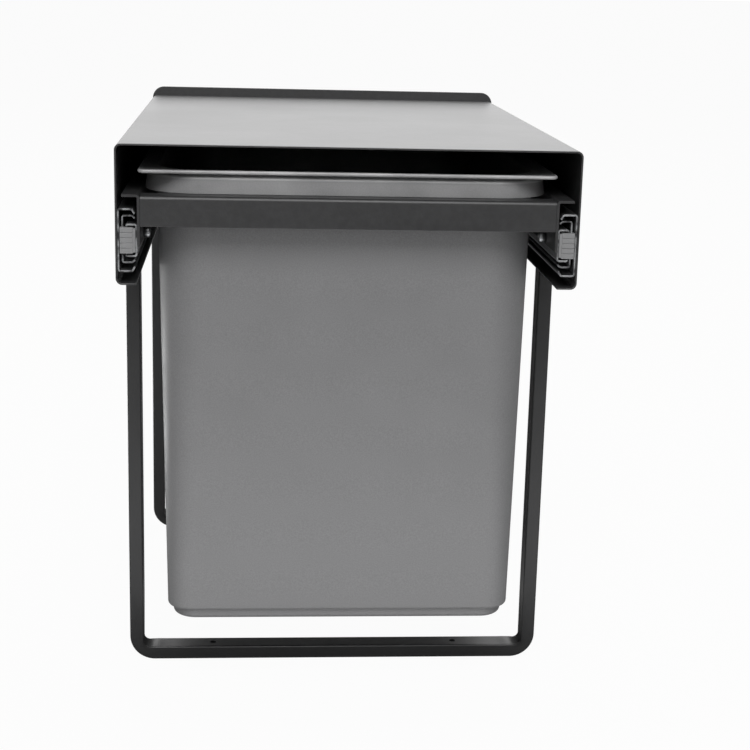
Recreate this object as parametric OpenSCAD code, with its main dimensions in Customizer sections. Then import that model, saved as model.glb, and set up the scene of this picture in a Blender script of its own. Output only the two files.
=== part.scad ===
// Pull-out bin frame: a folded sheet cover stands on two floor hoops, and a carriage with one
// hanging bin runs out of its front on a pair of three-part ball slides.
// Millimetres. The floor is at height zero, the middle of the width and of the depth is the
// origin, and the front is toward minus Y.

/* [Cover] */
// Outside width of the cover and of both hoops
cover_width = 364; // [340:1:420]
// Depth of the cover from its front edge to the rear panel
cover_depth = 502; // [480:1:540]
// Height of the top of the cover above the floor
cover_height = 470; // [450:1:520]
// Height of the side walls of the cover
side_height = 110; // [106:1:130]
// Thickness of the folded cover sheet
cover_sheet = 1.5; // [1:0.1:2]
// Outside radius of the folds of the cover
fold_radius = 5; // [3:0.5:7]
// Width of the flange that is folded inward under each side wall
flange_width = 16; // [13:1:18]

/* [Rear panel] */
// Thickness of the rear panel
panel_sheet = 2; // [1.5:0.1:3]
// Rise of the rear panel above the cover
panel_rise = 9; // [7:0.5:14]
// Radius of the upper corners of the rear panel
panel_corner = 12; // [8:0.5:14]

/* [Floor hoops] */
// Depth of the hoop tube, front to back
tube_depth = 20; // [16:1:25]
// Thickness of the hoop tube, across the bend
tube_thick = 12; // [9:0.5:14]
// Wall of the hoop tube
tube_wall = 1.2; // [1:0.1:1.6]
// Radius outside the bends of a hoop
bend_outside = 22; // [18:1:26]
// Radius inside the bends of a hoop
bend_inside = 5; // [4:0.5:8]
// Distance from the front edge of the cover to the front hoop
front_hoop_inset = 102; // [60:1:140]
// Distance from the front face of one hoop to the front face of the other
hoop_spacing = 355; // [300:1:365]
// Distance between the two floor screw holes of a hoop
hole_spacing = 217; // [160:1:240]
// Diameter of the floor screw holes
hole_bore = 5.5; // [4:0.1:7]
// Depth of the pressed mark inside each bend of a hoop
press_mark = 1.2; // [0.6:0.1:1.6]

/* [Slides] */
// Height of the outer member of a slide
slide_height = 50; // [49:0.5:54]
// Depth of a closed slide across the width
slide_depth = 15.5; // [15:0.5:18]
// Drop from the top of the cover to the middle of the slides
slide_drop = 75; // [72:0.5:78]
// Gauge of the steel of the slide members
gauge = 1.4; // [1.2:0.1:1.6]
// Diameter of the balls
ball = 4; // [3.6:0.1:4.2]
// Thickness of the ball cages
cage_sheet = 0.7; // [0.5:0.1:0.9]
// Length of the ball cages
cage_length = 200; // [160:5:220]
// Number of balls in each row
balls_in_row = 6; // [4:1:8]

/* [Carriage] */
// Thickness of the rails and crossbars
rail_sheet = 2; // [1.5:0.1:2.5]
// Drop from the top of the cover to the top of the rails
rail_drop = 39; // [36:0.5:42]
// Height of the rails
rail_height = 41; // [40:0.5:48]
// Width of the flange at the top of each rail
rail_flange = 13.8; // [8:0.1:15]
// Height of the crossbars
bar_height = 24; // [18:0.5:28]
// Width of the ledge at the top of each crossbar
bar_ledge = 19; // [18:0.5:21]
// Gap between the rear crossbar and the rear panel
rear_gap = 4; // [3:0.5:8]
// Diameter of the rivet heads on the rails
rivet_head = 8; // [7:0.5:9.5]
// Diameter of the rivet shanks
rivet_shank = 5; // [4:0.1:5.5]

/* [End buffers] */
// Height of the end buffers
buffer_height = 20.4; // [16:0.2:20.8]
// Number of ribs on the face of each end buffer
buffer_ribs = 5; // [3:1:7]

/* [Bin] */
// Height of the underside of the bin above the floor
bin_clearance = 66; // [50:1:120]
// Wall of the bin
bin_wall = 2.5; // [2:0.1:3]
// Height of the collar that hangs on the crossbars
collar_height = 14; // [10:0.5:16]
// Height of the lip above the collar
lip_height = 3.6; // [3:0.1:5]
// Corner radius of the lip in plan
lip_corner = 6; // [5:0.5:10]
// Corner radius of the collar in plan
collar_corner = 44; // [40:1:48]
// Inward lean of each bin wall from its rim to its floor
bin_lean = 7.7; // [5:0.1:10]
// Corner radius of the bin under its rim
body_corner = 44; // [40:0.5:46]
// Corner radius at the floor of the bin
floor_corner = 20; // [18:0.5:26]

/* [Hidden] */
$fn = 48;
bend_steps = 6;
round_steps = 12;
corner_steps = 9;
overshoot = 1;

// Levels and limits shared by the pieces
front_y = -(cover_depth + panel_sheet) / 2;
rear_y = front_y + cover_depth;
half_width = cover_width / 2;
wall_x = half_width - cover_sheet;
side_z = cover_height - side_height;
slide_z = cover_height - slide_drop;
rail_z = cover_height - rail_drop;
ledge_drop = 1;
ledge_z = rail_z - ledge_drop;

// Slide section, measured inward from the cover wall and up from the middle of the slide
cage_play = 0.35;
ball_play = 0.3;
slide_fold = 1.5;
race_gap = ball + 2 * ball_play;
outer_half = slide_height / 2;
middle_half = outer_half - gauge - race_gap;
inner_half = middle_half - gauge - race_gap;
outer_row = outer_half - gauge - race_gap / 2;
inner_row = middle_half - gauge - race_gap / 2;
outer_cage_in = gauge + cage_play + cage_sheet / 2;
middle_in = gauge + 2 * cage_play + cage_sheet;
inner_cage_in = middle_in + gauge + cage_play + cage_sheet / 2;

// Lips, edges and ball rows, measured back from the rail
outer_lip_gap = 2.1;
middle_lip_gap = 2.3;
lip_run = 2;
outer_lip_fall = 3.6;
middle_lip_fall = 1.9;
inner_width = 8.9;
inner_edge_run = 1.3;
inner_edge_fall = 0.9;
outer_ball_gap = 7.75;
inner_ball_gap = 6.2;
outer_lip_in = slide_depth - outer_lip_gap;
middle_lip_in = slide_depth - middle_lip_gap;
inner_edge_in = slide_depth - inner_width;
outer_ball_in = slide_depth - outer_ball_gap;
inner_ball_in = slide_depth - inner_ball_gap;
pocket_play = 0.2;
cage_pocket = ball + 2 * pocket_play;
cage_margin = 0.6;

// Depth limits of the slide members, with the middle member set back behind the end buffers
outer_inset = 2;
middle_inset = 8;
rear_step = 10;
cage_lead = 6;
row_margin = 10;
outer_front = front_y + outer_inset;
outer_rear = rear_y - outer_inset;
middle_front = front_y + middle_inset;
middle_rear = rear_y - rear_step;
carriage_rear = rear_y - rear_gap;
inner_rear = carriage_rear - rear_step;
cage_mid = front_y + cover_depth / 2 - cage_lead;
row_pitch = (cage_length - 2 * row_margin) / (balls_in_row - 1);

// Rails and rivets
rail_x = wall_x - slide_depth - rail_sheet;
rail_fold = 2;
rivet_count = 3;
rivet_inset = 42;
rivet_pitch = (inner_rear - outer_front - 2 * rivet_inset) / (rivet_count - 1);
rivet_rise = 6;
rivet_dish = 0.8;
rivet_dish_width = 4;
rivet_tip = 6;
rivet_taper = 1.2;
tail_rise = 1.2;
tail_width = 7.5;
hole_play = 0.1;

// End buffers, in the same slide section
buffer_inset = 0.5;
buffer_gap = 1.5;
buffer_play = 0.5;
buffer_rail_gap = 3.4;
plug_length = 20;
plug_step = 4;
plug_play = 2.1;
rib_cut = 0.6;
buffer_front = front_y + buffer_inset;
buffer_back = middle_front - buffer_gap;
buffer_out = gauge + buffer_play;
buffer_in = slide_depth - buffer_rail_gap;
plug_out = buffer_out + plug_step;
plug_half = inner_half - gauge - plug_play;
rib_pitch = buffer_height / buffer_ribs;

// Bin rim; its outline is the lip, and the other levels are set in from the lip
bin_play = 1;
bin_end_gap = 11.5;
groove_height = 1.4;
collar_in = 3.5;
groove_in = 4.7;
skirt = 2.8;
rim_skin = 3.2;
body_in = 12.3;
edge = 1.2;
bin_front = front_y + bin_end_gap;
bin_rear = carriage_rear - bin_end_gap;
bin_y = (bin_front + bin_rear) / 2;
lip_half_x = rail_x - bin_play + collar_in;
lip_half_y = (bin_rear - bin_front) / 2;
collar_top = ledge_z + collar_height;
lip_z = collar_top + groove_height;
rim_z = lip_z + lip_height;
rim_under = rim_z - rim_skin;
skirt_in = collar_in + skirt;

// Bin floor and foot
foot_height = 9;
foot_step = 4.5;
foot_corner = 20;
foot_round = 4;
floor_round = 3;
quarter = 1 - cos(45);
floor_in = body_in + bin_lean;
foot_in = floor_in + foot_step;
body_floor = bin_clearance + foot_height;

// Left turn of a flat step, a step of unit length and a step spun by an angle
function left_of(step) = [-step[1], step[0]];
function unit(step) = step / norm(step);
function spun(step, angle) = [
    step[0] * cos(angle) - step[1] * sin(angle),
    step[0] * sin(angle) + step[1] * cos(angle)
];

// Round bend at a corner, between the points before and after it
function bend(before, corner, after, radius, steps) =
    let (way_in = unit(corner - before))
    let (way_out = unit(after - corner))
    let (side = sign(cross(way_in, way_out)))
    let (turn = acos(way_in * way_out))
    let (start = corner - way_in * radius * tan(turn / 2))
    let (centre = start + left_of(way_in) * side * radius)
    [for (i = [0:steps]) centre + spun(start - centre, side * turn * i / steps)];

// Open line with every inner corner bent to one radius
function bent_line(line, radius) = [
    line[0],
    for (i = [1:len(line) - 2]) each bend(line[i - 1], line[i], line[i + 1], radius, bend_steps),
    line[len(line) - 1]
];

// Closed outline with its own radius at each corner, where zero stays sharp
function rounded_outline(corners, radii) =
    let (count = len(corners))
    [for (i = [0:count - 1])
        each radii[i] > 0
            ? bend(corners[(i + count - 1) % count], corners[i], corners[(i + 1) % count],
                radii[i], round_steps)
            : [corners[i]]];

// Step from the middle line of a sheet to its left face at one point
function face_step(line, i, sheet) =
    let (last = len(line) - 1)
    let (a = left_of(unit(line[max(i, 1)] - line[max(i, 1) - 1])))
    let (b = left_of(unit(line[min(i, last - 1) + 1] - line[min(i, last - 1)])))
    let (mean = unit(a + b))
    mean * sheet / 2 / (mean * a);

// Outline of a folded sheet along its middle line
function sheet_outline(line, sheet) = concat(
    [for (i = [0:len(line) - 1]) line[i] + face_step(line, i, sheet)],
    [for (i = [len(line) - 1:-1:0]) line[i] - face_step(line, i, sheet)]
);

// Point of the right-hand slide section in width and height
function in_slide(inward, up) = [wall_x - inward, slide_z + up];

// Line that is mirrored about the middle of the slide, from its lower end to its upper end
function slide_line(half) = concat(
    [for (i = [len(half) - 1:-1:0]) in_slide(half[i][0], -half[i][1])],
    [for (p = half) in_slide(p[0], p[1])]
);

// Depth of one rivet and of one ball
function rivet_y(i) = outer_front + rivet_inset + i * rivet_pitch;
function ball_y(i) = cage_mid + (i - (balls_in_row - 1) / 2) * row_pitch;

// Section in width and height, drawn out along the depth
module along_depth(from_y, to_y) {
    translate([0, to_y, 0])
        rotate([90, 0, 0])
            linear_extrude(to_y - from_y)
                children();
}

// Section in depth and height, drawn out across the width
module across_width(from_x, to_x) {
    translate([from_x, 0, 0])
        rotate([90, 0, 90])
            linear_extrude(to_x - from_x)
                children();
}

// Round bar across the width from a starting point, where its end can be narrower
module cross_pin(from, run, width, start_width = 0) {
    translate(from)
        rotate([0, 90, 0])
            cylinder(h = run, d1 = start_width > 0 ? start_width : width, d2 = width);
}

// Block between two opposite corners
module block(low, high) {
    translate(low)
        cube(high - low);
}

// The same piece on the left-hand side
module on_left() {
    mirror([1, 0, 0])
        children();
}

// Cover folded from one sheet: the top, two side walls and two flanges turned inward
module cover_housing() {
    mid = cover_sheet / 2;
    line = [
        [-half_width + flange_width, side_z + mid],
        [-half_width + mid, side_z + mid],
        [-half_width + mid, cover_height - mid],
        [half_width - mid, cover_height - mid],
        [half_width - mid, side_z + mid],
        [half_width - flange_width, side_z + mid]
    ];
    color([0.16, 0.16, 0.17])
        along_depth(front_y, rear_y)
            polygon(sheet_outline(bent_line(line, fold_radius - mid), cover_sheet));
}

// Flat rear panel that closes the back of the cover and stands up above it
module rear_panel() {
    top = cover_height + panel_rise;
    corners = [
        [-half_width, side_z],
        [half_width, side_z],
        [half_width, top],
        [-half_width, top]
    ];
    color([0.2, 0.2, 0.21])
        along_depth(rear_y, rear_y + panel_sheet)
            polygon(rounded_outline(corners, [0, 0, panel_corner, panel_corner]));
}

// Outline of a hoop, moved in by a distance from the faces of its tube
module hoop_outline(inset, top) {
    out = half_width - inset;
    in = half_width - tube_thick + inset;
    corners = [
        [-out, top],
        [-out, inset],
        [out, inset],
        [out, top],
        [in, top],
        [in, tube_thick - inset],
        [-in, tube_thick - inset],
        [-in, top]
    ];
    outer_bend = bend_outside - inset;
    inner_bend = bend_inside + inset;
    polygon(rounded_outline(corners, [0, outer_bend, outer_bend, 0, 0, inner_bend, inner_bend, 0]));
}

// Hoop bent from flat tube, with two floor screw holes and a pressed mark inside each bend
module hoop(at_y) {
    mid_y = at_y + tube_depth / 2;
    mark_radius = tube_depth / 2;
    mark_x = half_width - tube_thick - bend_inside;
    mark_z = tube_thick + mark_radius - press_mark;
    backing = bend_outside;
    difference() {
        along_depth(at_y, at_y + tube_depth)
            hoop_outline(0, side_z);
        difference() {
            along_depth(at_y + tube_wall, at_y + tube_depth - tube_wall)
                hoop_outline(tube_wall, side_z + overshoot);
            for (side = [-1, 1])
                translate([side * mark_x, mid_y, tube_thick / 2])
                    cube([backing, tube_depth, tube_thick], center = true);
        }
        for (side = [-1, 1]) {
            translate([side * mark_x, mid_y, mark_z])
                sphere(mark_radius);
            translate([side * hole_spacing / 2, mid_y, -overshoot])
                cylinder(h = tube_thick + 2 * overshoot, d = hole_bore);
        }
    }
}

module front_hoop() {
    color([0.17, 0.17, 0.18])
        hoop(front_y + front_hoop_inset);
}

module rear_hoop() {
    color([0.17, 0.17, 0.18])
        hoop(front_y + front_hoop_inset + hoop_spacing);
}

// Outer slide member, with its web on the cover wall and its lips bent in around the balls
module outer_member() {
    face = outer_half - gauge / 2;
    line = slide_line([
        [gauge / 2, face],
        [outer_lip_in - lip_run, face],
        [outer_lip_in, face - outer_lip_fall]
    ]);
    color([0.72, 0.73, 0.74])
        along_depth(outer_front, outer_rear)
            polygon(sheet_outline(bent_line(line, slide_fold), gauge));
}

module outer_member_right() {
    outer_member();
}

module outer_member_left() {
    on_left()
        outer_member();
}

// Middle slide member, which runs between the two rows of balls
module middle_member() {
    face = middle_half - gauge / 2;
    line = slide_line([
        [middle_in + gauge / 2, face],
        [middle_lip_in - lip_run, face],
        [middle_lip_in, face - middle_lip_fall]
    ]);
    color([0.72, 0.73, 0.74])
        along_depth(middle_front, middle_rear)
            polygon(sheet_outline(bent_line(line, slide_fold), gauge));
}

module middle_member_right() {
    middle_member();
}

module middle_member_left() {
    on_left()
        middle_member();
}

// Inner slide member, with its web on the rail and its edges turned toward the cover wall
module inner_member() {
    face = inner_half - gauge / 2;
    line = slide_line([
        [slide_depth - gauge / 2, face],
        [inner_edge_in + inner_edge_run, face],
        [inner_edge_in, face - inner_edge_fall]
    ]);
    color([0.72, 0.73, 0.74])
        difference() {
            along_depth(outer_front, inner_rear)
                polygon(sheet_outline(bent_line(line, slide_fold), gauge));
            rivet_holes();
        }
}

module inner_member_right() {
    inner_member();
}

module inner_member_left() {
    on_left()
        inner_member();
}

// Ball cage: a thin channel with a pocket around each ball
module ball_cage(web_in, row, ball_in) {
    line = slide_line([
        [web_in, row],
        [ball_in + cage_pocket / 2 + cage_margin, row]
    ]);
    color([0.62, 0.6, 0.52])
        difference() {
            along_depth(cage_mid - cage_length / 2, cage_mid + cage_length / 2)
                polygon(sheet_outline(bent_line(line, slide_fold / 2), cage_sheet));
            for (i = [0:balls_in_row - 1])
                translate([wall_x - ball_in, ball_y(i), slide_z - row - overshoot])
                    cylinder(h = 2 * (row + overshoot), d = cage_pocket);
        }
}

// Upper and lower row of separate balls
module ball_rows(row, ball_in) {
    color([0.8, 0.8, 0.82])
        for (i = [0:balls_in_row - 1], up = [-1, 1])
            translate([wall_x - ball_in, ball_y(i), slide_z + up * row])
                sphere(d = ball);
}

module outer_cage_right() {
    ball_cage(outer_cage_in, outer_row, outer_ball_in);
}

module outer_cage_left() {
    on_left()
        ball_cage(outer_cage_in, outer_row, outer_ball_in);
}

module outer_balls_right() {
    ball_rows(outer_row, outer_ball_in);
}

module outer_balls_left() {
    on_left()
        ball_rows(outer_row, outer_ball_in);
}

module inner_cage_right() {
    ball_cage(inner_cage_in, inner_row, inner_ball_in);
}

module inner_cage_left() {
    on_left()
        ball_cage(inner_cage_in, inner_row, inner_ball_in);
}

module inner_balls_right() {
    ball_rows(inner_row, inner_ball_in);
}

module inner_balls_left() {
    on_left()
        ball_rows(inner_row, inner_ball_in);
}

// Holes for the rivets through a rail and the web of its inner slide member
module rivet_holes() {
    run = rail_sheet + gauge + 2 * overshoot;
    for (i = [0:rivet_count - 1])
        cross_pin([rail_x - overshoot, rivet_y(i), slide_z], run, rivet_shank + 2 * hole_play);
}

// Rail of the carriage: an upright with a flange turned outward over the slide
module rail() {
    mid = rail_sheet / 2;
    line = [
        [rail_x + mid, rail_z - rail_height],
        [rail_x + mid, rail_z - mid],
        [rail_x + rail_flange, rail_z - mid]
    ];
    color([0.18, 0.18, 0.19])
        difference() {
            along_depth(front_y, carriage_rear)
                polygon(sheet_outline(bent_line(line, rail_fold), rail_sheet));
            rivet_holes();
        }
}

module rail_right() {
    rail();
}

module rail_left() {
    on_left()
        rail();
}

// Rivets that hold a rail to its slide, each with a tall dished head inside the carriage
module rail_rivets() {
    grip = rail_sheet + gauge;
    color([0.66, 0.67, 0.68])
        for (i = [0:rivet_count - 1])
            difference() {
                union() {
                    cross_pin([rail_x - rivet_rise, rivet_y(i), slide_z], rivet_taper, rivet_head,
                        rivet_tip);
                    cross_pin([rail_x - rivet_rise + rivet_taper, rivet_y(i), slide_z],
                        rivet_rise - rivet_taper, rivet_head);
                    cross_pin([rail_x - rivet_rise / 2, rivet_y(i), slide_z],
                        rivet_rise / 2 + grip + tail_rise, rivet_shank);
                    cross_pin([rail_x + grip, rivet_y(i), slide_z], tail_rise, tail_width);
                }
                cross_pin([rail_x - rivet_rise - overshoot, rivet_y(i), slide_z],
                    rivet_dish + overshoot, rivet_dish_width);
            }
}

module rail_rivets_right() {
    rail_rivets();
}

module rail_rivets_left() {
    on_left()
        rail_rivets();
}

// Crossbar between the rails: an upright with a ledge turned inward under the collar of the bin
module crossbar(face_y, inward) {
    mid = rail_sheet / 2;
    line = [
        [face_y + inward * mid, ledge_z - bar_height],
        [face_y + inward * mid, ledge_z - mid],
        [face_y + inward * bar_ledge, ledge_z - mid]
    ];
    color([0.2, 0.2, 0.21])
        across_width(-rail_x, rail_x)
            polygon(sheet_outline(bent_line(line, rail_fold), rail_sheet));
}

module front_crossbar() {
    crossbar(front_y, 1);
}

module rear_crossbar() {
    crossbar(carriage_rear, -1);
}

// Ribbed plastic buffer in the front end of an inner slide member
module end_buffer() {
    half = buffer_height / 2;
    color([0.62, 0.63, 0.64])
        difference() {
            union() {
                block([wall_x - buffer_in, buffer_front, slide_z - half],
                    [wall_x - buffer_out, buffer_back, slide_z + half]);
                block([wall_x - slide_depth + gauge, buffer_front + rib_cut, slide_z - plug_half],
                    [wall_x - plug_out, buffer_back + plug_length, slide_z + plug_half]);
            }
            for (i = [1:buffer_ribs - 1])
                block([wall_x - buffer_in - overshoot, buffer_front - overshoot,
                        slide_z - half + i * rib_pitch - rib_cut / 2],
                    [wall_x - buffer_out + overshoot, buffer_front + rib_cut,
                        slide_z - half + i * rib_pitch + rib_cut / 2]);
        }
}

module end_buffer_right() {
    end_buffer();
}

module end_buffer_left() {
    on_left()
        end_buffer();
}

// Level outline of the bin, set in from the lip
function bin_ring(level) =
    let (half = [lip_half_x - level[0], lip_half_y - level[0]])
    let (radius = level[2])
    [for (k = [0:3], i = [0:corner_steps])
        let (angle = 90 * (k + i / corner_steps))
        [
            (k == 0 || k == 3 ? 1 : -1) * (half[0] - radius) + radius * cos(angle),
            bin_y + (k < 2 ? 1 : -1) * (half[1] - radius) + radius * sin(angle),
            level[1]
        ]];

// Level of the lip, and a level with corners parallel to the rounder collar
function lip_level(inset, z) = [inset, z, lip_corner - inset];
function collar_level(inset, z) = [inset, z, collar_corner + collar_in - inset];

// Closed skin through a row of level outlines, from the underside to the floor inside
module skin(levels) {
    rings = [for (level = levels) bin_ring(level)];
    count = len(rings[0]);
    last = (len(rings) - 1) * count;
    sides = [
        for (k = [0:len(rings) - 2], i = [0:count - 1])
            let (a = k * count + i)
            let (b = k * count + (i + 1) % count)
            each [[a, a + count, b + count], [a, b + count, b]]
    ];
    ends = [
        [for (i = [0:count - 1]) i],
        [for (i = [count - 1:-1:0]) last + i]
    ];
    polyhedron(points = [for (ring = rings) each ring], faces = concat(sides, ends), convexity = 6);
}

// Bin moulded in one piece: a foot, leaning walls, and a rim with a hanging collar and a lip
module bin() {
    foot_top = body_floor + bin_wall;
    foot_ease = foot_round * quarter;
    levels = [
        [foot_in + foot_round, bin_clearance, foot_corner - foot_round],
        [foot_in + foot_ease, bin_clearance + foot_ease, foot_corner - foot_ease],
        [foot_in, bin_clearance + foot_round, foot_corner],
        [foot_in, body_floor, foot_corner],
        [floor_in + floor_round, body_floor, floor_corner - floor_round],
        [floor_in + floor_round * quarter, body_floor + floor_round * quarter, floor_corner],
        [floor_in, body_floor + floor_round, floor_corner],
        [body_in, rim_under, body_corner],
        collar_level(skirt_in, rim_under),
        collar_level(skirt_in, ledge_z),
        collar_level(collar_in, ledge_z),
        collar_level(collar_in, collar_top - edge),
        collar_level(groove_in, collar_top),
        collar_level(groove_in, lip_z),
        lip_level(edge, lip_z),
        lip_level(edge * quarter, lip_z + edge * quarter),
        lip_level(0, lip_z + edge),
        lip_level(0, rim_z - edge),
        lip_level(edge * quarter, rim_z - edge * quarter),
        lip_level(edge, rim_z),
        [body_in + bin_wall - edge, rim_z, body_corner - bin_wall + edge],
        [body_in + bin_wall, rim_z - edge, body_corner - bin_wall],
        [floor_in + bin_wall, foot_top + floor_round, floor_corner - bin_wall],
        [floor_in + bin_wall + floor_round, foot_top, floor_corner - floor_round],
        [foot_in + bin_wall, foot_top, foot_corner - bin_wall],
        [foot_in + bin_wall + edge, bin_clearance + bin_wall, foot_corner - bin_wall - edge]
    ];
    color([0.47, 0.47, 0.48])
        skin(levels);
}

cover_housing();
rear_panel();
front_hoop();
rear_hoop();
outer_member_left();
outer_member_right();
middle_member_left();
middle_member_right();
inner_member_left();
inner_member_right();
outer_cage_left();
outer_cage_right();
outer_balls_left();
outer_balls_right();
inner_cage_left();
inner_cage_right();
inner_balls_left();
inner_balls_right();
rail_left();
rail_right();
rail_rivets_left();
rail_rivets_right();
front_crossbar();
rear_crossbar();
end_buffer_left();
end_buffer_right();
bin();
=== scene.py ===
"""Dresses the pull-out bin frame: powder-coated cover and hoops, zinc slides, moulded bin."""
from math import cos, exp, hypot, pi, radians, sin

import bmesh
import bpy
from mathutils import Matrix, Vector


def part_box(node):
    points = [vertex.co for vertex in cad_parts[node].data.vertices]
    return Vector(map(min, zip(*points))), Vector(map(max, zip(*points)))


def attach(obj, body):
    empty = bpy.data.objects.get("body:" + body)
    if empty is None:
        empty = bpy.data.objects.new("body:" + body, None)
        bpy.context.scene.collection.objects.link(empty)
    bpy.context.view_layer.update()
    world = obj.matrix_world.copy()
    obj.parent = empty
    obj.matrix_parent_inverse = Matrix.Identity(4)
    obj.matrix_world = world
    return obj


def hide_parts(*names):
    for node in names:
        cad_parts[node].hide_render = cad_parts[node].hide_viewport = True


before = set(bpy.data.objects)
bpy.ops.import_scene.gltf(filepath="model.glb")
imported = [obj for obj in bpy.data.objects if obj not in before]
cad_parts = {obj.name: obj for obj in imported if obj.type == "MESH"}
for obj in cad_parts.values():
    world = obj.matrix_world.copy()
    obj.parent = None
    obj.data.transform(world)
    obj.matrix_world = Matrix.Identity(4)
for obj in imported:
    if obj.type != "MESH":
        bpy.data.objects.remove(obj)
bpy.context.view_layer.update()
scene = bpy.context.scene
MM = 0.001

# Camera: lens and sensor in mm, place in m, angles in radians

LENS, SENSOR, CLIP_START = 77.18, 36.0, 0.01
EYE = Vector((-0.0775, -1.4967, 0.5993))
TURN, DIP, TILT = 0.0803, 0.2435, 0.026


def set_camera():
    """Puts the camera where the photo was taken: turned aside, dipped, and tilted about its own axis."""
    ahead = Vector((sin(TURN) * cos(DIP), cos(TURN) * cos(DIP), -sin(DIP)))
    level = Vector((cos(TURN), -sin(TURN), 0))
    above = level.cross(ahead)
    right = cos(TILT) * level + sin(TILT) * above
    up = -sin(TILT) * level + cos(TILT) * above
    data = bpy.data.cameras.new("front_view")
    data.lens, data.sensor_width, data.clip_start = LENS, SENSOR, CLIP_START
    camera = bpy.data.objects.new("front_view", data)
    turned = Matrix((right, up, -ahead)).transposed()
    camera.matrix_world = Matrix.Translation(EYE) @ turned.to_4x4()
    scene.collection.objects.link(camera)
    scene.camera = camera


set_camera()

# Shader helpers

MIX_A, MIX_B, MIX_RESULT = 6, 7, 2  # the colour sockets of a Mix node
NOISE_SPREAD = (0.3, 0.7)  # where most values of a noise lie


def rgba(tone, factor=1.0):
    return (*[c * factor for c in tone], 1)


def new_group(name, inputs, outputs):
    group = bpy.data.node_groups.new(name, "ShaderNodeTree")
    for label, kind, value in inputs:
        socket = group.interface.new_socket(label, in_out="INPUT", socket_type=kind)
        if value is not None:
            socket.default_value = value
    for label, kind in outputs:
        group.interface.new_socket(label, in_out="OUTPUT", socket_type=kind)
    return group, group.nodes.new("NodeGroupInput"), group.nodes.new("NodeGroupOutput")


class Tree:
    """Short calls for building a node tree."""

    def __init__(self, tree):
        self.nodes, self.links = tree.nodes, tree.links

    def add(self, kind, **settings):
        node = self.nodes.new(kind)
        for key, value in settings.items():
            setattr(node, key, value)
        return node

    def feed(self, source, socket):
        if hasattr(source, "is_output"):
            self.links.new(source, socket)
        else:
            socket.default_value = source

    def math(self, operation, a, b=0.0, clamp=False):
        node = self.add("ShaderNodeMath", operation=operation, use_clamp=clamp)
        self.feed(a, node.inputs[0])
        self.feed(b, node.inputs[1])
        return node.outputs[0]

    def mix(self, factor, a, b):
        node = self.add("ShaderNodeMix", data_type="RGBA")
        self.feed(factor, node.inputs[0])
        self.feed(a, node.inputs[MIX_A])
        self.feed(b, node.inputs[MIX_B])
        return node.outputs[MIX_RESULT]

    def span(self, value, low, high, to_low, to_high):
        node = self.add("ShaderNodeMapRange")
        for i, item in enumerate((value, low, high, to_low, to_high)):
            self.feed(item, node.inputs[i])
        return node.outputs[0]

    def noise(self, vector, scale, detail=2.0, rough=0.5):
        node = self.add("ShaderNodeTexNoise")
        self.feed(vector, node.inputs["Vector"])
        self.feed(scale, node.inputs["Scale"])
        self.feed(detail, node.inputs["Detail"])
        self.feed(rough, node.inputs["Roughness"])
        return node.outputs["Fac"]

    def cells(self, vector, scale):
        node = self.add("ShaderNodeTexVoronoi", feature="SMOOTH_F1")
        self.feed(vector, node.inputs["Vector"])
        self.feed(scale, node.inputs["Scale"])
        return node.outputs["Distance"]

    def attribute(self, name):
        return self.add("ShaderNodeAttribute", attribute_name=name).outputs["Fac"]


# Shared effects; the scales of noises and cells are per metre

PEEL_FINE, PEEL_SLOW, CLOUD_SCALE = 0.6, 0.8, 9.0
RUB_AND_HIGHLIGHT_BREAK, RUB_AND_HIGHLIGHT_LEAST = (0.35, 0.7), 0.25
MOTTLE_SCALE, PLATING_SCALE = 22.0, 45.0
ROLLED_STRETCH = (1.0, 0.012, 1.0)


def coat_peel_group():
    """Orange peel of a sprayed powder coat: a fine skin of soft cells over slow waves."""
    group, start, end = new_group(
        "coat_peel",
        [("Place", "NodeSocketVector", None), ("Cell", "NodeSocketFloat", 700.0),
         ("Wave", "NodeSocketFloat", 120.0)],
        [("Height", "NodeSocketFloat"), ("Cloud", "NodeSocketFloat")])
    t = Tree(group)
    place, cell, wave = start.outputs[:3]
    fine = t.math("MULTIPLY", t.cells(place, cell), PEEL_FINE)
    slow = t.math("MULTIPLY", t.noise(place, wave), PEEL_SLOW)
    t.feed(t.math("ADD", fine, slow), end.inputs["Height"])
    t.feed(t.noise(place, CLOUD_SCALE, detail=3.0), end.inputs["Cloud"])
    return group


def edge_rub_and_highlight_group():
    """Rubbed edges and painted edge highlights: the edge mask of a piece, broken up by a patchy noise."""
    group, start, end = new_group(
        "edge_rub",
        [("Place", "NodeSocketVector", None), ("Edge", "NodeSocketFloat", 0.0),
         ("Patch", "NodeSocketFloat", 160.0), ("Amount", "NodeSocketFloat", 0.5)],
        [("Mask", "NodeSocketFloat")])
    t = Tree(group)
    place, edge, patch, amount = start.outputs[:4]
    broken = t.span(t.noise(place, patch, detail=3.0, rough=0.6), *RUB_AND_HIGHLIGHT_BREAK, RUB_AND_HIGHLIGHT_LEAST, 1.0)
    wear_and_painted_light = t.math("MULTIPLY", edge, broken)
    t.feed(t.math("MULTIPLY", wear_and_painted_light, amount, clamp=True), end.inputs["Mask"])
    return group


def mould_grain_group():
    """Spark-eroded grain of moulded plastic: small pits with a little slow mottling."""
    group, start, end = new_group(
        "mould_grain",
        [("Place", "NodeSocketVector", None), ("Pit", "NodeSocketFloat", 900.0)],
        [("Height", "NodeSocketFloat"), ("Mottle", "NodeSocketFloat")])
    t = Tree(group)
    place, pit = start.outputs[:2]
    t.feed(t.noise(place, pit, rough=0.55), end.inputs["Height"])
    t.feed(t.noise(place, MOTTLE_SCALE, detail=4.0, rough=0.6), end.inputs["Mottle"])
    return group


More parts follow.
